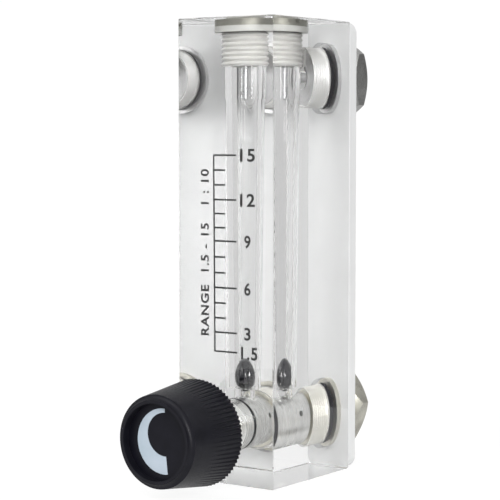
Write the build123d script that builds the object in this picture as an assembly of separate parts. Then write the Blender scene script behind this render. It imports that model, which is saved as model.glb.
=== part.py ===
from build123d import *
import os
from math import cos, pi, radians, sin, tan

os.makedirs("parts", exist_ok=True)

# Panel gas flow meter: a clear acrylic block with a tapered metering bore, a float,
# a needle valve at the front and two compression fittings at the back.
# All lengths are in millimetres, all angles in degrees.
# X is across the block, -Y is the front with the knob, Z is up.
# The origin is on the bottom face, on the axis of the metering bore.

# Clearances
bore_clearance = 0.08
thread_clearance = 0.10
running_clearance = 0.05
seating_gap = 0.10
face_gap = 0.05
cut_overrun = 1.0

# Acrylic block
block_width = 30.0
block_height = 120.0
block_depth = 36.0
bore_setback = 15.0
block_chamfer = 0.2
front_y = -bore_setback
back_y = front_y + block_depth

# Metering bore, up the block
seat_hole_radius = 3.0
seat_rise = 8.9
bore_bottom_radius = 4.7
bore_top_radius = 5.75
chamber_radius = 6.0
chamber_height = 8.45

# Top plug and its seal
plug_thread_radius = 7.0
plug_thread_pitch = 1.25
plug_thread_length = 8.75
plug_head_radius = 8.8
plug_head_height = 2.0
plug_recess_clearance = 0.2
plug_slot_width = 1.6
plug_slot_depth = 1.2
plug_edge = 0.3
seal_height = 1.6
stop_pin_radius = 1.2
stop_pin_grip = 6.0
stop_pin_drop = 8.75
stop_pin_bevel = 0.6
press_clearance = 0.01
thread_depth_share = 0.6

# Ports, one above the other at the back
port_inset = 15.0
inlet_z = port_inset
outlet_z = block_height - port_inset
port_passage_radius = 3.0
nose_length = 7.7

# Fitting, turned from bar
nose_radius = 8.0
nose_pitch = 1.0
nose_lead = 0.6
flange_radius = 9.3
flange_thickness = 1.9
flange_clearance = 0.15
groove_length = 2.9
groove_radius = 5.7
ring_section = 2.5
fitting_passage_radius = 3.0
shank_radius = 8.0
shank_pitch = 1.0
shank_length = 10.5
tube_radius = 5.05
tube_stop_from_back = 3.5
cone_depth = 1.2
cone_rise = 1.6

# Nuts on the fitting
lock_nut_flats = 22.0
lock_nut_thickness = 3.0
nut_flats = 24.0
nut_length = 7.6
nut_gap = 0.5
nut_relief_radius = 7.6
nut_mouth_length = 1.8
nut_bevel = 1.1
nut_corner_angle = 45.0
hexagon_corner_angle = 30.0
nut_land_inset = 0.7
outlet_nut_turn = 30.0
inlet_nut_turn = 54.0
ferrule_radius = 7.3
ferrule_bevel = 0.8

# Plate behind the block
plate_thickness = 3.5
plate_corner_radius = 3.0
plate_edge = 0.25
plate_hole_clearance = 0.2

# Needle valve body
valve_radius = 6.7
valve_length_in_block = 23.0
valve_collar_length = 4.5
valve_neck_radius = 5.0
valve_neck_length = 2.5
valve_edge = 0.3
valve_ring_y = -8.1
valve_ring_width = 1.5
valve_ring_height = 1.15
valve_ring_side_gap = 0.15
valve_ring_corner_share = 0.4
valve_chamber_radius = 3.2
valve_chamber_front_y = -3.6
valve_outlet_radius = 2.0
cross_hole_radius = 0.8
cross_hole_y = 3.6
cross_hole_angle = 17.0
orifice_radius = 1.25
orifice_length = 1.3
orifice_entry_radius = 2.5
orifice_entry_length = 1.2

# Stem, needle and stem seal
stem_radius = 3.0
stem_collar_radius = 4.9
stem_collar_length = 1.0
stem_tail_radius = 2.0
stem_tail_end_y = -3.8
stem_front_from_cap = 1.6
seal_ring_y = -6.0
seal_ring_section = 1.2
seal_ring_groove_length = 1.5
needle_travel = 2.4
needle_shank_radius = 1.4
needle_shank_length = 11.0
needle_radius = 2.4
needle_tip_radius = 0.5
needle_tip_past_orifice = 0.6
needle_shoulder_length = 1.0

# Bonnet nut on the valve body's neck
bonnet_flats = 12.0
bonnet_length = 4.2
bonnet_land_inset = 0.05

# Knob
knob_gap = 11.6
knob_length = 18.1
knob_rear_radius = 13.7
knob_front_radius = 11.7
knob_rim_round = 1.3
knob_face_radius = 9.6
knob_face_depth = 2.2
knob_cap_thickness = 0.9
knob_recess_radius = 8.6
knob_recess_depth = 5.0
knob_hub_radius = 5.0
rib_count = 72
rib_depth = 0.42
rib_reach = 0.8
rib_crest = 0.12
set_screw_radius = 1.5
set_screw_length = 6.0
set_screw_socket_radius = 0.75
set_screw_socket_depth = 1.8
set_screw_from_rear = 8.0

# Float
float_radius = 4.5
float_drop = 1.05
float_height = 8.6
float_waist_height = 3.9
float_hip_radius = 3.75
float_hip_height = 1.75
float_neck_radius = 2.75
float_neck_height = 1.05
float_dome_pull = 1.1
float_skirt_pull = 0.6
float_foot_slope = 0.6

# Places worked out from the sizes above
seat_z = inlet_z + seat_rise
float_bottom_z = seat_z - float_drop
plug_head_z = block_height - plug_head_height
plug_recess_z = plug_head_z - seal_height
plug_recess_radius = plug_head_radius + plug_recess_clearance
plug_bottom_z = plug_recess_z - plug_thread_length
bore_top_z = plug_bottom_z - chamber_height
stop_pin_bottom_z = plug_bottom_z - stop_pin_drop
flange_y = back_y - flange_thickness
groove_y = flange_y - groove_length
port_end_y = groove_y - nose_length
port_recess_radius = flange_radius + flange_clearance
plate_front_y = back_y + face_gap
plate_back_y = plate_front_y + plate_thickness
shank_end_y = back_y + shank_length
tube_stop_y = back_y + tube_stop_from_back
lock_nut_y = plate_back_y
nut_y = lock_nut_y + lock_nut_thickness + nut_gap
nut_end_y = nut_y + nut_length
valve_end_y = front_y + valve_length_in_block
valve_collar_y = front_y - valve_collar_length
valve_neck_y = valve_collar_y - valve_neck_length
valve_bore_radius = valve_radius + bore_clearance
orifice_end_y = valve_end_y - orifice_entry_length
orifice_y = orifice_end_y - orifice_length
knob_rear_y = front_y - knob_gap
knob_front_y = knob_rear_y - knob_length
knob_face_y = knob_front_y + knob_face_depth
knob_cap_back_y = knob_face_y + knob_cap_thickness
stem_front_y = knob_cap_back_y + stem_front_from_cap
stem_collar_back_y = valve_neck_y - running_clearance
stem_collar_front_y = stem_collar_back_y - stem_collar_length
stem_step_y = seal_ring_y - seal_ring_groove_length / 2 - seal_ring_section
needle_shoulder_y = valve_chamber_front_y + needle_travel + running_clearance
needle_front_y = needle_shoulder_y - needle_shank_length


def turned_upright(outline):
    """Solid turned about the metering axis, from (radius, height) points."""
    return revolve(make_face(Plane.XZ * Polyline(*outline, close=True)), Axis.Z)


def turned_level(outline, height):
    """Solid turned about a front-to-back axis, from (radius, y) points."""
    return Pos(0, 0, height) * revolve(make_face(Polyline(*outline, close=True)), Axis.Y)


def thread(radius, pitch, start, end):
    """Outline of the ring-shaped ridges that stand for a 60 degree thread."""
    depth = pitch * thread_depth_share
    turns = int((end - start) / pitch)
    points = []
    for turn in range(turns):
        foot = start + turn * pitch
        points.append((radius - depth, foot))
        points.append((radius, foot + pitch / 2))
    points.append((radius - depth, start + turns * pitch))
    return points


def level_cylinder(radius, start_y, end_y, height):
    """Round bar lying front to back."""
    bar = Cylinder(radius, end_y - start_y, align=(Align.CENTER, Align.CENTER, Align.MIN))
    return Pos(0, start_y, height) * Rot(-90, 0, 0) * bar


def ring(centre_radius, section, y, height):
    """Round rubber ring lying in a front-to-back bore."""
    outline = Pos(centre_radius, y) * Circle(section / 2)
    return Pos(0, 0, height) * revolve(outline, Axis.Y)


def hexagon_bar(flats, start_y, end_y, height, turn, land_inset, corner_angle):
    """Hexagon bar lying front to back, with turned corners at both ends."""
    corner_radius = flats / 2 / cos(pi / 6)
    bar = extrude(RegularPolygon(corner_radius, 6), end_y - start_y)
    bar = Pos(0, start_y, height) * Rot(-90, 0, 0) * Rot(0, 0, turn) * bar
    corner = corner_radius + face_gap
    land = flats / 2 - land_inset
    slope = (corner - land) * tan(radians(corner_angle))
    limit = [(0, start_y), (land, start_y), (corner, start_y + slope)]
    limit += [(corner, end_y - slope), (land, end_y), (0, end_y)]
    return bar & turned_level(limit, height)


def port_cut(height):
    """Space of one rear port: passage, tapped hole and flange recess."""
    outline = [(0, 0), (port_passage_radius, 0), (port_passage_radius, port_end_y - nose_lead)]
    outline += thread(nose_radius, nose_pitch, port_end_y - nose_lead, groove_y - nose_lead)
    outline += [(nose_radius, groove_y - nose_lead), (nose_radius, groove_y)]
    outline += [(port_recess_radius, groove_y), (port_recess_radius, back_y + cut_overrun)]
    outline += [(0, back_y + cut_overrun)]
    return turned_level(outline, height)


def metering_cut():
    """Space of the tapered bore, the chamber above it and the plug's tapped hole."""
    outline = [(0, inlet_z), (seat_hole_radius, inlet_z), (seat_hole_radius, seat_z)]
    outline += [(bore_bottom_radius, seat_z), (bore_top_radius, bore_top_z)]
    outline += [(chamber_radius, bore_top_z), (chamber_radius, plug_bottom_z)]
    outline += thread(plug_thread_radius, plug_thread_pitch, plug_bottom_z, plug_recess_z)
    outline += [(plug_thread_radius, plug_recess_z), (plug_recess_radius, plug_recess_z)]
    outline += [(plug_recess_radius, block_height + cut_overrun)]
    outline += [(0, block_height + cut_overrun)]
    return turned_upright(outline)


def acrylic_body():
    block = Box(block_width, block_depth, block_height, align=(Align.CENTER, Align.MIN, Align.MIN))
    block = chamfer((Pos(0, front_y, 0) * block).edges(), block_chamfer)
    valve_cut = level_cylinder(
        valve_bore_radius, front_y - cut_overrun, valve_end_y + face_gap, inlet_z
    )
    return block - metering_cut() - valve_cut - port_cut(inlet_z) - port_cut(outlet_z)


def rear_plate():
    outline = RectangleRounded(block_width, block_height, plate_corner_radius)
    plate = extrude(outline, plate_thickness)
    plate = chamfer(plate.faces().sort_by(Axis.Z)[-1].edges(), plate_edge)
    plate = Pos(0, plate_front_y, block_height / 2) * Rot(-90, 0, 0) * plate
    hole_radius = shank_radius + plate_hole_clearance
    for height in (inlet_z, outlet_z):
        plate -= level_cylinder(hole_radius, back_y, plate_back_y + cut_overrun, height)
    return plate


def top_plug():
    male_radius = plug_thread_radius - thread_clearance
    outline = [(0, plug_bottom_z)]
    outline += thread(male_radius, plug_thread_pitch, plug_bottom_z, plug_recess_z)
    neck_radius = male_radius - plug_thread_pitch * thread_depth_share
    outline += [(neck_radius, plug_head_z), (plug_head_radius, plug_head_z)]
    outline += [(plug_head_radius, block_height - plug_edge)]
    outline += [(plug_head_radius - plug_edge, block_height), (0, block_height)]
    plug = turned_upright(outline)
    slot = Box(2 * plug_head_radius + cut_overrun, plug_slot_width, 2 * plug_slot_depth)
    pin_hole = Cylinder(stop_pin_radius, 2 * stop_pin_grip)
    return plug - Pos(0, 0, block_height) * slot - Pos(0, 0, plug_bottom_z) * pin_hole


def top_plug_seal():
    inner = plug_thread_radius - thread_clearance
    outline = [(inner, plug_recess_z + face_gap), (plug_head_radius, plug_recess_z + face_gap)]
    outline += [(plug_head_radius, plug_head_z), (inner, plug_head_z)]
    return turned_upright(outline)


def float_stop_pin():
    radius = stop_pin_radius - press_clearance
    top_z = plug_bottom_z + stop_pin_grip - face_gap
    outline = [(0, stop_pin_bottom_z), (radius - stop_pin_bevel, stop_pin_bottom_z)]
    outline += [(radius, stop_pin_bottom_z + stop_pin_bevel), (radius, top_z), (0, top_z)]
    return turned_upright(outline)


def float_body():
    top = (0, float_bottom_z + float_height)
    waist = (float_radius, float_bottom_z + float_waist_height)
    hip = (float_hip_radius, float_bottom_z + float_hip_height)
    neck = (float_neck_radius, float_bottom_z + float_neck_height)
    foot = (0, float_bottom_z)
    dome = Spline(top, waist, tangents=[(1, 0), (0, -1)], tangent_scalars=[1, float_dome_pull])
    skirt = Spline(waist, hip, tangents=[(0, -1), (-1, -1)], tangent_scalars=[1, float_skirt_pull])
    lens = Spline(neck, foot, tangents=[(-1, -float_foot_slope), (-1, 0)])
    section = make_face(Plane.XZ * Curve([dome, skirt, Line(hip, neck), lens, Line(foot, top)]))
    return revolve(section, Axis.Z)


def fitting(height):
    """Turned fitting: threaded nose, ring groove, flange and threaded shank."""
    nose = nose_radius - thread_clearance
    outline = [(fitting_passage_radius, port_end_y)]
    outline += thread(nose, nose_pitch, port_end_y - nose_lead + nose_pitch, groove_y - nose_lead)
    outline += [(nose, groove_y - nose_lead), (nose, groove_y), (groove_radius, groove_y)]
    outline += [(groove_radius, flange_y), (flange_radius, flange_y), (flange_radius, back_y)]
    outline += thread(shank_radius, shank_pitch, back_y, shank_end_y - shank_pitch / 2)
    outline += [(tube_radius + cone_rise, shank_end_y), (tube_radius, shank_end_y - cone_depth)]
    outline += [(tube_radius, tube_stop_y), (fitting_passage_radius, tube_stop_y)]
    return turned_level(outline, height)


def fitting_ring(height):
    centre_radius = groove_radius + running_clearance + ring_section / 2
    return ring(centre_radius, ring_section, groove_y + groove_length / 2, height)


def tapped(radius, pitch, start_y, end_y, height):
    """Space of a tapped hole, meshed with the shank thread that starts at the block."""
    wide = radius + thread_clearance
    first = back_y + int((start_y - back_y) / pitch) * pitch
    outline = [(0, start_y - pitch)] + thread(wide, pitch, first, end_y) + [(0, end_y)]
    return turned_level(outline, height)


def lock_nut(height, turn):
    end_y = lock_nut_y + lock_nut_thickness
    angle = hexagon_corner_angle
    blank = hexagon_bar(lock_nut_flats, lock_nut_y, end_y, height, turn, face_gap, angle)
    return blank - tapped(shank_radius, shank_pitch, lock_nut_y, end_y + shank_pitch, height)


def compression_nut(height, turn):
    inset = nut_land_inset
    blank = hexagon_bar(nut_flats, nut_y, nut_end_y, height, turn, inset, nut_corner_angle)
    seat_y = nut_end_y - nut_mouth_length
    seat_radius = nut_relief_radius - nut_bevel
    tapped_hole = tapped(shank_radius, shank_pitch, nut_y, shank_end_y, height)
    outline = [(0, shank_end_y - shank_pitch), (nut_relief_radius, shank_end_y - shank_pitch)]
    outline += [(nut_relief_radius, seat_y - nut_bevel), (seat_radius, seat_y)]
    outline += [(tube_radius, seat_y), (tube_radius, nut_end_y + cut_overrun)]
    outline += [(0, nut_end_y + cut_overrun)]
    return blank - tapped_hole - turned_level(outline, height)


def ferrule(height):
    """Olive that grips the tube between the fitting's cone and the nut."""
    slope = cone_rise / cone_depth
    nose_y = shank_end_y - cone_depth + 2 * seating_gap
    nose = tube_radius + slope * seating_gap
    shoulder_y = nose_y + (ferrule_radius - nose) / slope
    back = nut_end_y - nut_mouth_length - seating_gap
    outline = [(tube_radius, nose_y), (nose, nose_y), (ferrule_radius, shoulder_y)]
    outline += [(ferrule_radius, back - ferrule_bevel), (ferrule_radius - ferrule_bevel, back)]
    outline += [(tube_radius, back)]
    return turned_level(outline, height)


def valve_body():
    """Brass body pressed into the block, with the needle seat at its back end."""
    groove_radius_inner = valve_bore_radius - valve_ring_height - running_clearance
    groove_front = valve_ring_y - valve_ring_width / 2 - valve_ring_side_gap
    groove_back = valve_ring_y + valve_ring_width / 2 + valve_ring_side_gap
    outline = [(0, valve_neck_y), (valve_neck_radius, valve_neck_y)]
    outline += [(valve_neck_radius, valve_collar_y), (valve_radius - valve_edge, valve_collar_y)]
    outline += [(valve_radius, valve_collar_y + valve_edge), (valve_radius, groove_front)]
    outline += [(groove_radius_inner, groove_front), (groove_radius_inner, groove_back)]
    outline += [(valve_radius, groove_back), (valve_radius, valve_end_y - valve_edge)]
    outline += [(valve_radius - valve_edge, valve_end_y), (0, valve_end_y)]
    body = turned_level(outline, inlet_z)
    upward = (Align.CENTER, Align.CENTER, Align.MIN)
    drill = Cylinder(cross_hole_radius, valve_radius + cut_overrun, align=upward)
    for angle in (cross_hole_angle, cross_hole_angle + 180):
        body -= Pos(0, cross_hole_y, inlet_z) * Rot(0, 90 - angle, 0) * drill
    outlet = Cylinder(valve_outlet_radius, valve_radius + cut_overrun, align=upward)
    return body - Pos(0, 0, inlet_z) * outlet - valve_inside()


def valve_inside():
    """Space in the valve body, from the stem's tapped hole to the orifice."""
    tail = stem_tail_radius + running_clearance
    groove = stem_tail_radius + seal_ring_section + 2 * running_clearance
    seal_front = seal_ring_y - seal_ring_groove_length / 2
    seal_back = seal_ring_y + seal_ring_groove_length / 2
    wide = stem_radius + running_clearance
    outline = [(0, valve_neck_y - cut_overrun), (wide, valve_neck_y - cut_overrun)]
    outline += [(wide, stem_step_y), (tail, stem_step_y), (tail, seal_front)]
    outline += [(groove, seal_front)]
    outline += [(groove, seal_back), (tail, seal_back), (tail, valve_chamber_front_y)]
    outline += [(valve_chamber_radius, valve_chamber_front_y), (valve_chamber_radius, orifice_y)]
    outline += [(orifice_radius, orifice_y), (orifice_radius, orifice_end_y)]
    outline += [(orifice_entry_radius, orifice_end_y)]
    outline += [(orifice_entry_radius, valve_end_y + cut_overrun), (0, valve_end_y + cut_overrun)]
    return turned_level(outline, inlet_z)


def valve_body_ring():
    outer = valve_bore_radius - running_clearance / 2
    corner = valve_ring_height * valve_ring_corner_share
    section = RectangleRounded(valve_ring_height, valve_ring_width, corner)
    section = Pos(outer - valve_ring_height / 2, valve_ring_y) * section
    return Pos(0, 0, inlet_z) * revolve(section, Axis.Y)


def stem_ring():
    centre_radius = stem_tail_radius + running_clearance + seal_ring_section / 2
    return ring(centre_radius, seal_ring_section, seal_ring_y, inlet_z)


def bonnet_nut():
    """Nut that holds the stem's collar against the valve body's neck."""
    inner_y = stem_collar_front_y - running_clearance
    start_y = valve_collar_y - bonnet_length
    inset = bonnet_land_inset
    angle = hexagon_corner_angle
    blank = hexagon_bar(bonnet_flats, start_y, valve_collar_y, inlet_z, 0, inset, angle)
    neck_hole = valve_neck_radius + running_clearance
    stem_hole = stem_radius + 2 * running_clearance
    outline = [(0, start_y - cut_overrun), (stem_hole, start_y - cut_overrun)]
    outline += [(stem_hole, inner_y), (neck_hole, inner_y)]
    outline += [(neck_hole, valve_collar_y + cut_overrun), (0, valve_collar_y + cut_overrun)]
    return blank - turned_level(outline, inlet_z)


def valve_needle():
    """Needle that slides in the turning stem's socket, to open the orifice."""
    tip_y = orifice_end_y + needle_tip_past_orifice
    seat_radius = orifice_radius - running_clearance
    outline = [(0, needle_front_y), (needle_shank_radius, needle_front_y)]
    outline += [(needle_shank_radius, needle_shoulder_y), (needle_radius, needle_shoulder_y)]
    outline += [(needle_radius, orifice_y - needle_shoulder_length)]
    outline += [(seat_radius, orifice_y - running_clearance)]
    outline += [(needle_tip_radius, tip_y), (0, tip_y)]
    return turned_level(outline, inlet_z)


def valve_stem():
    """Stem that turns in place, with a socket along which the needle travels."""
    socket = needle_shank_radius + running_clearance
    socket_y = needle_front_y - needle_travel - seating_gap
    guide_end_y = stem_step_y - running_clearance
    outline = [(0, stem_front_y), (stem_radius, stem_front_y), (stem_radius, stem_collar_front_y)]
    outline += [(stem_collar_radius, stem_collar_front_y), (stem_collar_radius, stem_collar_back_y)]
    outline += [(stem_radius, stem_collar_back_y), (stem_radius, guide_end_y)]
    outline += [(stem_tail_radius, guide_end_y), (stem_tail_radius, stem_tail_end_y)]
    outline += [(socket, stem_tail_end_y)]
    outline += [(socket, socket_y), (0, socket_y)]
    return turned_level(outline, inlet_z)


def knob_radius(y):
    """Radius of the knob's cone at a place along its axis."""
    share = (y - knob_front_y) / knob_length
    return knob_front_radius + share * (knob_rear_radius - knob_front_radius)


def rib_grooves():
    """Vee grooves between the knob's ribs, running out towards its front."""
    reach = knob_length * rib_reach
    rise = rib_depth + knob_radius(knob_rear_y - reach) - knob_rear_radius
    half_width = pi * knob_rear_radius / rib_count - rib_crest / 2
    slope = half_width / rib_depth
    bottom = knob_rear_radius - rib_depth
    top = knob_rear_radius + rib_depth
    vee = [(0, bottom), (slope * (top - bottom), top), (-slope * (top - bottom), top)]
    face = Plane.XZ * make_face(Polyline(*vee, close=True))
    direction = Vector(0, -reach, rise)
    groove = extrude(face, direction.length, dir=direction.normalized())
    groove = Pos(0, knob_rear_y, inlet_z) * groove
    axis = Axis((0, 0, inlet_z), (0, 1, 0))
    return [groove.rotate(axis, step * 360 / rib_count) for step in range(rib_count)]


def knob():
    """Ribbed cone with a dished face, a hub for the stem and a hollow back."""
    stem_hole = stem_radius + press_clearance
    rim = knob_radius(knob_front_y)
    profile = [
        Line((0, knob_cap_back_y), (knob_face_radius, knob_cap_back_y)),
        Line((knob_face_radius, knob_cap_back_y), (knob_face_radius, knob_front_y)),
        Line((knob_face_radius, knob_front_y), (rim - knob_rim_round, knob_front_y)),
        RadiusArc(
            (rim - knob_rim_round, knob_front_y), (rim, knob_front_y + knob_rim_round), knob_rim_round
        ),
        Line((rim, knob_front_y + knob_rim_round), (knob_rear_radius, knob_rear_y)),
        Line((knob_rear_radius, knob_rear_y), (0, knob_rear_y)),
        Line((0, knob_rear_y), (0, knob_cap_back_y)),
    ]
    body = Pos(0, 0, inlet_z) * revolve(make_face(Curve(profile)), Axis.Y)
    recess_y = knob_rear_y - knob_recess_depth
    cut_y = knob_rear_y + cut_overrun
    recess = [(knob_hub_radius, cut_y), (knob_hub_radius, recess_y)]
    recess += [(knob_recess_radius, recess_y), (knob_recess_radius, cut_y)]
    body -= turned_level(recess, inlet_z)
    hub_top = recess_y + knob_recess_depth / 2
    body -= level_cylinder(knob_hub_radius + cut_overrun, hub_top, cut_y, inlet_z)
    body -= level_cylinder(stem_hole, stem_front_y - face_gap, cut_y, inlet_z)
    return body - screw_hole() - rib_grooves()


def screw_hole():
    """Radial hole for the set screw, pointing down at rest."""
    screw_y = knob_rear_y - set_screw_from_rear
    length = knob_radius(screw_y) + cut_overrun
    downward = (Align.CENTER, Align.CENTER, Align.MAX)
    hole = Cylinder(set_screw_radius + press_clearance, length, align=downward)
    return Pos(0, screw_y, inlet_z) * hole


def knob_cap():
    """Disc pressed into the knob's dished face."""
    return level_cylinder(knob_face_radius - press_clearance, knob_face_y, knob_cap_back_y, inlet_z)


def knob_set_screw():
    top = -stem_radius - press_clearance
    screw = Cylinder(set_screw_radius, set_screw_length, align=(Align.CENTER, Align.CENTER, Align.MAX))
    socket = extrude(RegularPolygon(set_screw_socket_radius, 6), set_screw_socket_depth)
    screw -= Pos(0, 0, -set_screw_length) * socket
    return Pos(0, knob_rear_y - set_screw_from_rear, inlet_z + top) * screw


parts = {
    "acrylic_body": acrylic_body(),
    "rear_plate": rear_plate(),
    "top_plug": top_plug(),
    "top_plug_seal": top_plug_seal(),
    "float_stop_pin": float_stop_pin(),
    "float": float_body(),
    "valve_body": valve_body(),
    "valve_body_ring": valve_body_ring(),
    "stem_ring": stem_ring(),
    "bonnet_nut": bonnet_nut(),
    "valve_needle": valve_needle(),
    "valve_stem": valve_stem(),
    "knob": knob(),
    "knob_cap": knob_cap(),
    "knob_set_screw": knob_set_screw(),
}

for name, height, turn in (("inlet", inlet_z, inlet_nut_turn), ("outlet", outlet_z, outlet_nut_turn)):
    parts[name + "_fitting"] = fitting(height)
    parts[name + "_ring"] = fitting_ring(height)
    parts[name + "_lock_nut"] = lock_nut(height, turn)
    parts[name + "_compression_nut"] = compression_nut(height, turn)
    parts[name + "_ferrule"] = ferrule(height)

for name, solid in parts.items():
    export_step(solid, "parts/" + name + ".step")
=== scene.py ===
import math

import bpy
from mathutils import Matrix, Vector

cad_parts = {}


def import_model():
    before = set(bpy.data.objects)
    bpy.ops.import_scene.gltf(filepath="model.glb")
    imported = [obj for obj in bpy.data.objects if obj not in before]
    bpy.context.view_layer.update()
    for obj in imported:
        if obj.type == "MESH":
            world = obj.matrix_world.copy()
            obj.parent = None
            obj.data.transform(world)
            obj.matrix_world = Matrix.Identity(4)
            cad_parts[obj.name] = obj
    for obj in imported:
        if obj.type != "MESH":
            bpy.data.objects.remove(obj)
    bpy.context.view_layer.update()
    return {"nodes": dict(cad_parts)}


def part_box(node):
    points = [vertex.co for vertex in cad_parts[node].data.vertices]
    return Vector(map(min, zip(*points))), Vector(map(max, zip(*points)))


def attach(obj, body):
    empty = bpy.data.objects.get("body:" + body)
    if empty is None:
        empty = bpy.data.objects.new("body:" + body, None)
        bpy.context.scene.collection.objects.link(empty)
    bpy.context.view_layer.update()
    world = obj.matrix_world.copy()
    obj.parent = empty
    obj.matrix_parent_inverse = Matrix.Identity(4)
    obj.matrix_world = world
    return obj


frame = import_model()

MM = 0.001
GREY_RAMP = (0.3, 0.7)

# Places taken from the frame, in metres
BLOCK_LOW, BLOCK_HIGH = (Vector(corner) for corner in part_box("acrylic_body"))
CAP_FRONT_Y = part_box("knob_cap")[0][1]
INLET_Z = sum(corner[2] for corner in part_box("inlet_fitting")) / 2
OUTLET_Z = sum(corner[2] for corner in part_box("outlet_fitting")) / 2
VALVE_Z = INLET_Z
RING_START_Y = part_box("inlet_ring")[0][1]
FRONT_Y = BLOCK_LOW.y

# Reach of the block's open bores, where the wall meets air
SKIN = 0.3 * MM
SEAT_Z = 23.8 * MM
PLUG_FOOT_Z = 107.7 * MM
PLUG_THREAD_TOP_Z = 116.3 * MM
BORE_REACH = 6.3 * MM
PASSAGE_REACH = 3.1 * MM
NOSE_START_Y = 8.3 * MM
NOSE_REACH = 8.3 * MM

# Clear acrylic: its tint at the foot and its darker tint at the top, which is painted shade, smudges, and
# how far cut threads are hazed and frosted
ACRYLIC_IOR = 1.49
ACRYLIC_TINT_AND_TOP_SHADE = ((0.862, 0.862, 0.862), (0.848, 0.848, 0.848))
# Painted shade: the acrylic's tint darkens from this height up to the top of the block
SHADE_START_Z = 84.0 * MM
SMUDGE_NOISE = (90.0, 5.0, 0.6)
SMUDGE_ONSET = (0.62, 0.8)
SMUDGE_SHARE = 0.1
THREAD_HAZE, NOSE_HAZE = 0.3, 0.08
THREAD_FROST, NOSE_FROST = 0.5, 0.35
FROST_COLOUR = (0.9, 0.895, 0.87, 1)

# Grain of the materials: noise as cycles per metre, detail and roughness, and bumps as height and strength
LATHE_NOISE = (5200.0, 2.0, 0.6)
CLOUD_DETAIL = 4.0
CLOUD_NOISE = (160.0, CLOUD_DETAIL)
CLOUD_SHARE = 0.15
LATHE_RIDGE = (0.02 * MM, 0.35)
LATHE_ROUGHNESS_SPAN = (0.7, 1.5)
GRAIN_ROUGHNESS_SPAN = (0.8, 1.2)
GRAIN_STRENGTH = 0.4

# Moulded and printed finishes: dark and light tones, grain scale, roughness, grain height, specular level
FINISHES = {
    "back_plate": ((0.735, 0.74, 0.74), (0.77, 0.775, 0.775), 700.0, 0.35, 0.000001, 0.4),
    "rubber": ((0.006, 0.005, 0.008), (0.012, 0.011, 0.016), 900.0, 0.34, 0.00002, 0.15),
    "knob_plastic": ((0.005, 0.005, 0.008), (0.008, 0.008, 0.012), 2600.0, 0.42, 0.00002, 0.16),
    "cap_plastic": ((0.004, 0.004, 0.007), (0.006, 0.006, 0.010), 2600.0, 0.36, 0.00001, 0.14),
    "float_glaze": ((0.006, 0.006, 0.008), (0.010, 0.010, 0.013), 500.0, 0.05, 0.000001, 0.85),
    "seal_plastic": ((0.56, 0.56, 0.53), (0.64, 0.64, 0.61), 700.0, 0.4, 0.00001, 0.5),
    "ink": ((0.004, 0.004, 0.004), (0.009, 0.009, 0.009), 3000.0, 0.5, 0.000005, 0.5),
    "pale_ink": ((0.36, 0.43, 0.49), (0.42, 0.48, 0.55), 1500.0, 0.5, 0.00001, 0.5),
}
PLAIN_PIECES = {
    "back_plate": ("rear_plate",),
    "rubber": ("inlet_ring", "outlet_ring", "valve_body_ring", "stem_ring"),
    "knob_plastic": ("knob",),
    "cap_plastic": ("knob_cap",),
    "float_glaze": ("float",),
    "seal_plastic": ("top_plug_seal",),
}

# Metals: dark and light tones
STEEL = ((0.50, 0.50, 0.51), (0.60, 0.60, 0.61))
WARM_PLATE = ((0.80, 0.78, 0.70), (0.90, 0.88, 0.80))
COOL_PLATE = ((0.84, 0.84, 0.84), (0.92, 0.92, 0.92))
BRIGHT_PLATE = ((0.90, 0.90, 0.88), (0.97, 0.97, 0.95))
NUT_PLATE = ((0.20, 0.20, 0.195), (0.42, 0.42, 0.41))
WARM_NUT_PLATE = ((0.26, 0.25, 0.22), (0.48, 0.47, 0.41))
PLUG_PLATE = ((0.28, 0.275, 0.24), (0.38, 0.375, 0.33))

# Turned pieces: height of the turning axis where it lies level, tones, roughness and the pieces
TURNED = {
    "plug_metal": (None, PLUG_PLATE, 0.42, ("top_plug",)),
    "pin_steel": (None, STEEL, 0.25, ("float_stop_pin",)),
    "valve_steel": (VALVE_Z, STEEL, 0.25, ("valve_stem", "valve_needle", "knob_set_screw")),
    "valve_metal": (VALVE_Z, BRIGHT_PLATE, 0.28, ("valve_body", "bonnet_nut")),
    "inlet_metal": (INLET_Z, WARM_PLATE, 0.34, ("inlet_fitting", "inlet_ferrule")),
    "inlet_nut_metal": (INLET_Z, WARM_NUT_PLATE, 0.28, ("inlet_lock_nut", "inlet_compression_nut")),
    "outlet_metal": (OUTLET_Z, COOL_PLATE, 0.34, ("outlet_fitting", "outlet_ferrule")),
    "outlet_nut_metal": (OUTLET_Z, NUT_PLATE, 0.28, ("outlet_lock_nut", "outlet_compression_nut")),
}

# Studio: turns are from straight in front, towards the right
WORLD_LIGHT = 0.5
SIGHT_LIGHT = 1.02
SCREENS = ((-6.0, 33.0), (64.0, 152.0))
SCREEN_REACH = 20.0
SCREEN_DARKNESS = 0.5
WALL_LIGHT = 0.78
FLOOR_SIZE = 0.22
FLOOR_DROP = 0.2 * MM
FLOOR_COLOUR = (0.85, 0.85, 0.85, 1)
FLOOR_ROUGHNESS = 0.9
FLOOR_GLOW = 1.12
FLOOR_GLOW_SHARE = 0.8
LAMP_TARGET = Vector((0, 0, 0.05))

# Lamps: turn from the camera's direction, rise, distance, size and power
LAMPS = {
    "key": (8.5, 17.0, 0.9, (0.24, 0.45), 6.0),
    "fill": (-60.0, 40.0, 1.4, (0.9, 0.9), 8.0),
}

# Light bounces that the clear block needs
BOUNCES = 24
TRANSMISSION_BOUNCES = 20
GLOSSY_BOUNCES = 12

# Camera
CAMERA_PLACE = Vector((0.2634, -0.37764, 0.09013))
CAMERA_TURN = math.radians(35.174)
CAMERA_DIP = math.radians(3.775)
LENS_MM = 126.23
SENSOR_MM = 36.0
CLIP_START = 0.01

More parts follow.
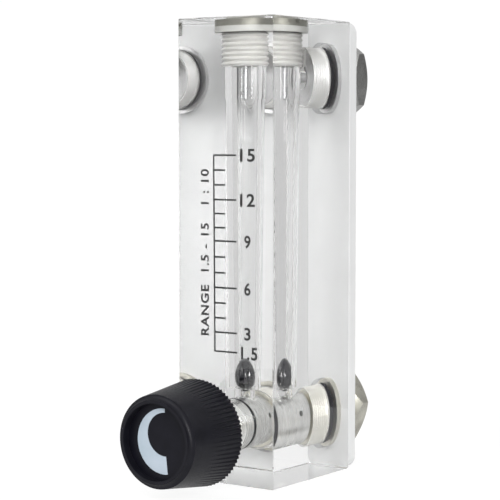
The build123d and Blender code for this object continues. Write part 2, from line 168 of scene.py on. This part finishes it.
# Print on the front face
PRINT_THICKNESS = 0.03 * MM
LINE_WIDTH = 0.44 * MM
SCALE_X = -3.39 * MM
SCALE_LEAN = 0.0065
SCALE_MIDDLE = 59.6 * MM
MAJOR_END_X = 3.62 * MM
MINOR_END_X = 0.15 * MM
MAJOR_MARKS = {"15": 84.82, "12": 73.43, "9": 62.82, "6": 50.81, "3": 39.30, "1.5": 34.34}
MINOR_MARKS = (81.0, 77.2, 69.84, 66.25, 58.7, 54.65, 46.85, 43.0)
DIGIT_HEIGHT = 3.3 * MM
DIGIT_WIDTH = 1.95 * MM
DIGIT_CENTRE_X = 7.03 * MM
PAIR_WIDTH = 4.6 * MM
DECIMAL_WIDTH = 5.1 * MM
DECIMAL_CENTRE_X = 7.6 * MM
LEGEND = "RANGE  1.5 - 15   1 : 10"
LEGEND_SIZE = (43.0 * MM, 2.6 * MM)
LEGEND_CENTRE = (-6.4 * MM, 59.7 * MM)
STROKE_GAIN = 0.022
LETTER_SPACE = 1.12
LETTER_DEPTH = 0.01
LETTER_STEPS = 6

# Crescent on the knob's face, about the knob's axis
CRESCENT_OUTER = (1.44, 0.13, 8.16)
CRESCENT_INNER = (1.82, 1.87, 5.40)
CRESCENT_OUTER_ENDS = (88.0, 278.3)
CRESCENT_INNER_ENDS = (91.0, 273.2)
CRESCENT_STEPS = 48


def node_material(name):
    """New node material, with its node tree and its Principled shader."""
    made = bpy.data.materials.new(name)
    made.use_nodes = True
    tree = made.node_tree
    return made, tree, tree.nodes["Principled BSDF"]


def add(tree, kind, **values):
    """New node of a kind, with its properties and plain input values set."""
    node = tree.nodes.new("ShaderNode" + kind)
    for key, value in values.items():
        if hasattr(node, key):
            setattr(node, key, value)
        else:
            node.inputs[key].default_value = value
    return node


def plain(shader, **values):
    """Sets plain values on a shader's sockets, named with _ for each space."""
    for key, value in values.items():
        shader.inputs[key.replace("_", " ")].default_value = value


def maths(tree, operation, first, second):
    """Result of a sum on two values, each a socket or a number."""
    node = add(tree, "Math", operation=operation)
    for socket, value in zip(node.inputs, (first, second)):
        if isinstance(value, (int, float)):
            socket.default_value = value
        else:
            tree.links.new(value, socket)
    return node.outputs["Value"]


def within(tree, value, low, high):
    """1 where a value lies between two limits, else 0."""
    above = maths(tree, "GREATER_THAN", value, low)
    return maths(tree, "MULTIPLY", above, maths(tree, "LESS_THAN", value, high))


def from_axis(tree, first, second):
    """Distance from an axis, by the two places across it."""
    squares = (maths(tree, "MULTIPLY", value, value) for value in (first, second))
    return maths(tree, "SQRT", maths(tree, "ADD", *squares), 0.0)


def noise(tree, vector, scale, detail=3.0, roughness=0.5):
    node = add(tree, "TexNoise", Scale=scale, Detail=detail, Roughness=roughness)
    tree.links.new(vector, node.inputs["Vector"])
    return node.outputs["Fac"]


def spread(tree, value, low, high, start=GREY_RAMP[0], end=GREY_RAMP[1]):
    """Maps a texture's value to a range."""
    node = add(tree, "MapRange")
    node.inputs["From Min"].default_value = start
    node.inputs["From Max"].default_value = end
    node.inputs["To Min"].default_value = low
    node.inputs["To Max"].default_value = high
    tree.links.new(value, node.inputs["Value"])
    return node.outputs["Result"]


def tones(tree, value, dark, light):
    """Colour between two tones, by a texture's value."""
    node = add(tree, "ValToRGB")
    ramp = node.color_ramp
    ramp.elements[0].position, ramp.elements[1].position = GREY_RAMP
    ramp.elements[0].color = (*dark, 1)
    ramp.elements[1].color = (*light, 1)
    tree.links.new(value, node.inputs["Fac"])
    return node.outputs["Color"]


def bump(tree, shader, height, distance, strength=1.0):
    node = add(tree, "Bump", Strength=strength, Distance=distance)
    tree.links.new(height, node.inputs["Height"])
    tree.links.new(node.outputs["Normal"], shader.inputs["Normal"])


def object_place(tree):
    return add(tree, "TexCoord").outputs["Object"]


def lathe_place(tree, axis_height=None):
    """Vector of the distance from the turning axis and the place along it."""
    split = add(tree, "SeparateXYZ")
    tree.links.new(object_place(tree), split.inputs["Vector"])
    x, y, z = split.outputs
    if axis_height is None:
        across, along = y, z
    else:
        across, along = maths(tree, "SUBTRACT", z, axis_height), y
    joined = add(tree, "CombineXYZ")
    tree.links.new(from_axis(tree, x, across), joined.inputs["X"])
    tree.links.new(along, joined.inputs["Y"])
    return joined.outputs["Vector"]


def turned_metal(name, axis_height, dark, light, roughness):
    """Plated or bare metal with fine rings left by the lathe."""
    made, tree, shader = node_material(name)
    rings = noise(tree, lathe_place(tree, axis_height), *LATHE_NOISE)
    cloud = noise(tree, object_place(tree), *CLOUD_NOISE)
    tree.links.new(tones(tree, cloud, dark, light), shader.inputs["Base Color"])
    low, high = (roughness * share for share in LATHE_ROUGHNESS_SPAN)
    tree.links.new(spread(tree, rings, low, high), shader.inputs["Roughness"])
    bump(tree, shader, rings, *LATHE_RIDGE)
    plain(shader, Metallic=1.0)
    return made


def clear_plastic(name, colour, shaded_top_colour, smudge):
    """Clear acrylic that lets lamps through, with a tint darkened towards the top by painted shade, and in
    faint smudges.
    """
    made, tree, shader = node_material(name)
    plain(shader, Transmission_Weight=1.0, IOR=ACRYLIC_IOR, Roughness=0.0)
    place = object_place(tree)
    split = add(tree, "SeparateXYZ")
    tree.links.new(place, split.inputs["Vector"])
    # Painted shade: the tint darkens with height towards the top of the block, on top of the faint smudges
    height = spread(tree, split.outputs["Z"], *GREY_RAMP, SHADE_START_Z, BLOCK_HIGH.z)
    smudges = spread(tree, noise(tree, place, *SMUDGE_NOISE), 0.0, smudge, *SMUDGE_ONSET)
    shade_and_smudges = maths(tree, "ADD", height, smudges)
    tree.links.new(tones(tree, shade_and_smudges, colour, shaded_top_colour), shader.inputs["Base Color"])
    let_lamps_through(tree, shader, colour, *wetted(tree))
    return made


def wetted(tree):
    """Share of the wall that isn't seen, where a piece is sealed against it, and its frosted share."""
    split = add(tree, "SeparateXYZ")
    tree.links.new(object_place(tree), split.inputs["Vector"])
    x, y, z = split.outputs
    bore_radius = from_axis(tree, x, y)
    shared = maths(tree, "LESS_THAN", maths(tree, "ABSOLUTE", x, 0.0), BLOCK_HIGH.x - SKIN)
    shared = maths(tree, "MULTIPLY", shared, within(tree, z, SKIN, BLOCK_HIGH.z - SKIN))
    shared = maths(tree, "MULTIPLY", shared, maths(tree, "GREATER_THAN", y, FRONT_Y + SKIN))
    open_bore = maths(tree, "LESS_THAN", bore_radius, BORE_REACH)
    open_bore = maths(tree, "MULTIPLY", open_bore, within(tree, z, SEAT_Z, PLUG_FOOT_Z))
    thread = within(tree, z, PLUG_FOOT_Z, PLUG_THREAD_TOP_Z)
    thread = maths(tree, "MULTIPLY", thread, maths(tree, "LESS_THAN", bore_radius, NOSE_REACH))
    haze = maths(tree, "MULTIPLY", thread, THREAD_HAZE)
    frost = maths(tree, "MULTIPLY", thread, THREAD_FROST)
    for height in (INLET_Z, OUTLET_Z):
        drop = maths(tree, "SUBTRACT", z, height)
        port_radius = from_axis(tree, x, drop)
        open_bore = maths(tree, "MAXIMUM", open_bore, maths(tree, "LESS_THAN", port_radius, PASSAGE_REACH))
        nose = maths(tree, "LESS_THAN", port_radius, NOSE_REACH)
        nose = maths(tree, "MULTIPLY", nose, within(tree, y, NOSE_START_Y, RING_START_Y))
        haze = maths(tree, "MAXIMUM", haze, maths(tree, "MULTIPLY", nose, NOSE_HAZE))
        frost = maths(tree, "MAXIMUM", frost, maths(tree, "MULTIPLY", nose, NOSE_FROST))
    open_bore = maths(tree, "MAXIMUM", open_bore, maths(tree, "LESS_THAN", bore_radius, PASSAGE_REACH))
    closed = maths(tree, "SUBTRACT", 1.0, open_bore)
    hidden = maths(tree, "MULTIPLY", closed, maths(tree, "SUBTRACT", 1.0, haze))
    return maths(tree, "MULTIPLY", shared, hidden), maths(tree, "MULTIPLY", shared, frost)


def let_lamps_through(tree, shader, colour, open_share, frosted_share):
    """A lamp's light passes the clear part and is only tinted by it, and cut threads look frosted."""
    output = tree.nodes["Material Output"]
    path = add(tree, "LightPath")
    frost = add(tree, "BsdfDiffuse")
    frost.inputs["Color"].default_value = FROST_COLOUR
    frosted = add(tree, "MixShader")
    open_shader = add(tree, "BsdfTransparent")
    open_shader.inputs["Color"].default_value = (*colour, 1)
    mix = add(tree, "MixShader")
    tree.links.new(maths(tree, "MAXIMUM", path.outputs["Is Shadow Ray"], open_share), mix.inputs["Fac"])
    tree.links.new(shader.outputs["BSDF"], mix.inputs[1])
    tree.links.new(open_shader.outputs["BSDF"], mix.inputs[2])
    seen = maths(tree, "SUBTRACT", 1.0, path.outputs["Is Shadow Ray"])
    tree.links.new(maths(tree, "MULTIPLY", frosted_share, seen), frosted.inputs["Fac"])
    tree.links.new(mix.outputs["Shader"], frosted.inputs[1])
    tree.links.new(frost.outputs["BSDF"], frosted.inputs[2])
    tree.links.new(frosted.outputs["Shader"], output.inputs["Surface"])


def matte(name, dark, light, scale, roughness, grain, specular):
    """Moulded plastic, rubber or ink, with a fine grain."""
    made, tree, shader = node_material(name)
    place = object_place(tree)
    cloud = noise(tree, place, scale * CLOUD_SHARE, CLOUD_DETAIL)
    fine = noise(tree, place, scale)
    tree.links.new(tones(tree, cloud, dark, light), shader.inputs["Base Color"])
    low, high = (roughness * share for share in GRAIN_ROUGHNESS_SPAN)
    tree.links.new(spread(tree, fine, low, high), shader.inputs["Roughness"])
    bump(tree, shader, fine, grain, GRAIN_STRENGTH)
    shader.inputs["Specular IOR Level"].default_value = specular
    return made


def dress(material, *nodes):
    """Gives CAD nodes a material."""
    for node in nodes:
        for slot in frame["nodes"][node].material_slots:
            slot.material = material


def mesh_piece(name, vertices, faces, material, body):
    """Mesh piece in the frame's place, riding on a body."""
    mesh = bpy.data.meshes.new(name)
    mesh.from_pydata(vertices, [], faces)
    mesh.update()
    piece = bpy.data.objects.new(name, mesh)
    bpy.context.scene.collection.objects.link(piece)
    mesh.materials.append(material)
    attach(piece, body)
    return piece


def plate_solid(outline, front_y, thickness):
    """Vertices and faces of a thin plate standing in front of a plane, from (x, z) points."""
    count = len(outline)
    front = [(x, front_y - thickness, z) for x, z in outline]
    back = [(x, front_y, z) for x, z in outline]
    faces = [tuple(range(count)), tuple(reversed(range(count, 2 * count)))]
    for i in range(count):
        j = (i + 1) % count
        faces.append((i, i + count, j + count, j))
    return front + back, faces


def printed_lines(material):
    """Scale line and its ticks, as thin strips of ink."""
    half = LINE_WIDTH / 2
    heights = list(MAJOR_MARKS.values()) + list(MINOR_MARKS)
    low, high = min(heights) * MM - half, max(heights) * MM + half
    strips = [(SCALE_X - half, SCALE_X + half, low, high)]
    for height in heights:
        end = MAJOR_END_X if height in MAJOR_MARKS.values() else MINOR_END_X
        strips.append((SCALE_X + half, end, height * MM - half, height * MM + half))
    vertices, faces = [], []
    for x0, x1, z0, z1 in strips:
        corners = [(x0, z0), (x1, z0), (x1, z1), (x0, z1)]
        outline = [(x - SCALE_LEAN * (z - SCALE_MIDDLE), z) for x, z in corners]
        more, sides = plate_solid(outline, FRONT_Y, PRINT_THICKNESS)
        faces += [tuple(i + len(vertices) for i in side) for side in sides]
        vertices += more
    piece = mesh_piece("scale_lines", vertices, faces, material, "root")
    return piece


def printed_text(name, body, size, centre, turn, material):
    """Flat lettering on the front face, fitted to a width, a height and a centre."""
    curve = bpy.data.curves.new(name, "FONT")
    curve.body = body
    curve.size = 1.0
    curve.offset = STROKE_GAIN
    curve.space_character = LETTER_SPACE
    curve.extrude = LETTER_DEPTH
    curve.resolution_u = LETTER_STEPS
    source = bpy.data.objects.new(name + "_source", curve)
    bpy.context.scene.collection.objects.link(source)
    bpy.context.view_layer.update()
    mesh = bpy.data.meshes.new_from_object(source)
    bpy.data.objects.remove(source)
    xs = [v.co.x for v in mesh.vertices]
    ys = [v.co.y for v in mesh.vertices]
    width, height = size
    across = width / (max(xs) - min(xs))
    upward = height / (max(ys) - min(ys))
    middle = Vector(((min(xs) + max(xs)) / 2, (min(ys) + max(ys)) / 2, 0))
    depth = PRINT_THICKNESS / (2 * LETTER_DEPTH)
    place = Matrix.Translation((centre[0], FRONT_Y - PRINT_THICKNESS / 2, centre[1]))
    upright = Matrix.Rotation(math.pi / 2, 4, "X")
    spin = Matrix.Rotation(turn, 4, "Z")
    sized = Matrix.Diagonal((across, upward, depth, 1))
    mesh.transform(place @ upright @ spin @ sized @ Matrix.Translation(-middle))
    mesh.materials.clear()
    mesh.materials.append(material)
    piece = bpy.data.objects.new(name, mesh)
    bpy.context.scene.collection.objects.link(piece)
    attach(piece, "root")
    return piece


def arc(circle, start, end):
    """Points of an arc of a circle (x, z, radius), in millimetres from the valve's axis."""
    x, z, radius = circle
    points = []
    for step in range(CRESCENT_STEPS + 1):
        angle = math.radians(start + (end - start) * step / CRESCENT_STEPS)
        points.append(((x + radius * math.cos(angle)) * MM, VALVE_Z + (z + radius * math.sin(angle)) * MM))
    return points


def crescent(material):
    """Pale crescent printed on the knob's cap, between two circles and a cut."""
    inner = arc(CRESCENT_INNER, *CRESCENT_INNER_ENDS)
    outline = arc(CRESCENT_OUTER, *CRESCENT_OUTER_ENDS) + inner[::-1]
    vertices, faces = plate_solid(outline, CAP_FRONT_Y, PRINT_THICKNESS)
    piece = mesh_piece("knob_crescent", vertices, faces, material, "knob")
    return piece


def stage_plane(name, size, place, normal, material):
    """Flat stage piece, centred on a place and facing along a normal."""
    width, height = size
    corners = [(-width / 2, -height / 2, 0), (width / 2, -height / 2, 0)]
    corners += [(width / 2, height / 2, 0), (-width / 2, height / 2, 0)]
    mesh = bpy.data.meshes.new(name)
    mesh.from_pydata(corners, [], [(0, 1, 2, 3)])
    mesh.materials.append(material)
    plane = bpy.data.objects.new(name, mesh)
    plane.location = place
    plane.rotation_euler = Vector(normal).to_track_quat("Z", "Y").to_euler()
    bpy.context.scene.collection.objects.link(plane)
    return plane


def sight_rays(tree):
    """1 for camera, glossy and transmission rays, else 0."""
    path = add(tree, "LightPath")
    seen = maths(tree, "MAXIMUM", path.outputs["Is Camera Ray"], path.outputs["Is Glossy Ray"])
    return maths(tree, "MAXIMUM", seen, path.outputs["Is Transmission Ray"])


def floor():
    """Pale floor that shows white and keeps a soft shadow."""
    made, tree, shader = node_material("floor")
    plain(shader, Base_Color=FLOOR_COLOUR, Roughness=FLOOR_ROUGHNESS)
    shader.inputs["Specular IOR Level"].default_value = 0.0
    glow = add(tree, "Emission", Strength=FLOOR_GLOW)
    mix = add(tree, "MixShader")
    tree.links.new(maths(tree, "MULTIPLY", sight_rays(tree), FLOOR_GLOW_SHARE), mix.inputs["Fac"])
    tree.links.new(shader.outputs["BSDF"], mix.inputs[1])
    tree.links.new(glow.outputs["Emission"], mix.inputs[2])
    tree.links.new(mix.outputs["Shader"], tree.nodes["Material Output"].inputs["Surface"])
    stage_plane("floor", (FLOOR_SIZE, FLOOR_SIZE), (0, 0, -FLOOR_DROP), (0, 0, 1), made)


def world():
    """White studio, which lights at a plain level, shows white and has dark screens in reflections."""
    made = bpy.data.worlds.new("studio")
    bpy.context.scene.world = made
    made.use_nodes = True
    tree = made.node_tree
    back = tree.nodes["Background"]
    back.inputs["Color"].default_value = (1, 1, 1, 1)
    split = add(tree, "SeparateXYZ")
    tree.links.new(add(tree, "TexCoord").outputs["Generated"], split.inputs["Vector"])
    x, y, z = split.outputs
    turn = maths(tree, "ARCTAN2", x, maths(tree, "MULTIPLY", y, -1.0))
    dark = 0.0
    for start, end in SCREENS:
        dark = maths(tree, "ADD", dark, within(tree, turn, math.radians(start), math.radians(end)))
    reach = math.sin(math.radians(SCREEN_REACH))
    dark = maths(tree, "MULTIPLY", dark, within(tree, z, -reach, reach))
    path = add(tree, "LightPath")
    mirrored = maths(tree, "SUBTRACT", path.outputs["Is Glossy Ray"], path.outputs["Is Transmission Ray"])
    dark = maths(tree, "MULTIPLY", dark, maths(tree, "MAXIMUM", mirrored, 0.0))
    level = spread(tree, sight_rays(tree), WORLD_LIGHT, SIGHT_LIGHT, 0.0, 1.0)
    level = maths(tree, "SUBTRACT", level, maths(tree, "MULTIPLY", dark, SCREEN_DARKNESS))
    dimmed = maths(tree, "MULTIPLY", path.outputs["Is Glossy Ray"], 1.0 - WALL_LIGHT)
    level = maths(tree, "SUBTRACT", level, dimmed)
    tree.links.new(level, back.inputs["Strength"])


def lamp(name, turn, rise, distance, size, power):
    """Soft lamp round the object, by its turn from the camera's direction and its rise."""
    data = bpy.data.lights.new(name, "AREA")
    data.shape = "RECTANGLE"
    data.size, data.size_y = size
    data.energy = power
    heading = math.radians(turn) + CAMERA_TURN
    flat = math.cos(math.radians(rise)) * distance
    height = math.sin(math.radians(rise)) * distance
    offset = Vector((math.sin(heading) * flat, -math.cos(heading) * flat, height))
    thing = bpy.data.objects.new(name, data)
    thing.location = LAMP_TARGET + offset
    thing.rotation_euler = (-offset).to_track_quat("-Z", "Y").to_euler()
    bpy.context.scene.collection.objects.link(thing)


def camera():
    data = bpy.data.cameras.new("camera")
    data.lens = LENS_MM
    data.sensor_width = SENSOR_MM
    data.clip_start = CLIP_START
    thing = bpy.data.objects.new("camera", data)
    thing.location = CAMERA_PLACE
    thing.rotation_euler = (math.pi / 2 - CAMERA_DIP, 0, CAMERA_TURN)
    bpy.context.scene.collection.objects.link(thing)
    bpy.context.scene.camera = thing


camera()

dress(clear_plastic("acrylic", *ACRYLIC_TINT_AND_TOP_SHADE, SMUDGE_SHARE), "acrylic_body")
finishes = {name: matte(name, *values) for name, values in FINISHES.items()}
for name, pieces in PLAIN_PIECES.items():
    dress(finishes[name], *pieces)
for name, (axis_height, metal, roughness, pieces) in TURNED.items():
    dress(turned_metal(name, axis_height, *metal, roughness), *pieces)

ink = finishes["ink"]
printed_lines(ink)
for label, height in MAJOR_MARKS.items():
    middle, width = DIGIT_CENTRE_X, DIGIT_WIDTH
    if "." in label:
        middle, width = DECIMAL_CENTRE_X, DECIMAL_WIDTH
    elif len(label) > 1:
        width = PAIR_WIDTH
    name = "scale_number_" + label.replace(".", "_")
    printed_text(name, label, (width, DIGIT_HEIGHT), (middle, height * MM), 0.0, ink)
printed_text("scale_legend", LEGEND, LEGEND_SIZE, LEGEND_CENTRE, math.pi / 2, ink)
crescent(finishes["pale_ink"])

floor()
world()
for name, values in LAMPS.items():
    lamp(name, *values)

cycles = bpy.context.scene.cycles
cycles.max_bounces = BOUNCES
cycles.transmission_bounces = TRANSMISSION_BOUNCES
cycles.glossy_bounces = GLOSSY_BOUNCES
cycles.transparent_max_bounces = BOUNCES
bpy.context.scene.view_settings.view_transform = "Standard"
